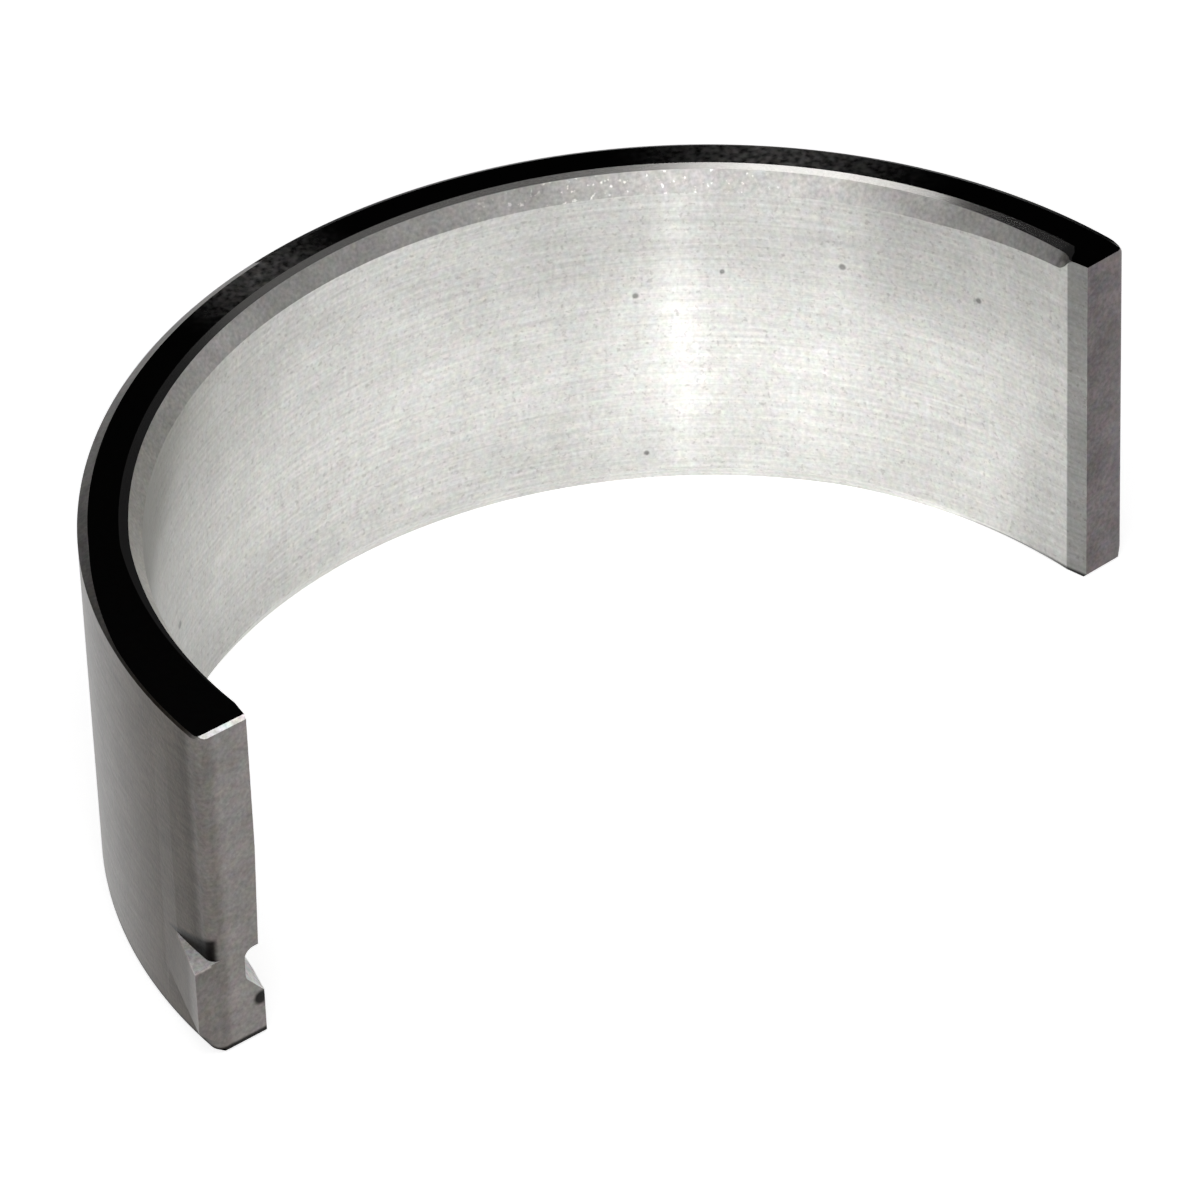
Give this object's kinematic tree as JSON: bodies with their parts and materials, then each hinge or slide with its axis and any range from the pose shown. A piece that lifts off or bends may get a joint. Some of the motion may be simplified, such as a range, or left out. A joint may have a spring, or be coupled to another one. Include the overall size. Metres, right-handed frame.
{
  "type": "engine bearing shell",
  "caption": "Half-round plain bearing shell with chamfered edges, flat parting faces and a pressed locating lug, for an engine journal.",
  "frame": {"origin": "on the bearing axis, halfway along the width of the shell", "axes": "+Z along the bearing axis, +Y towards the crown, +X across the parting ends, the lug at the -X end"},
  "size_m": [0.0578, 0.0278, 0.0188],
  "materials": {
    "bearing_metal": "satin steel back, fine-bored bright lining"
  },
  "bodies": {
    "root": {"bearing_shell": "bearing_metal"}
  },
  "joints": []
}
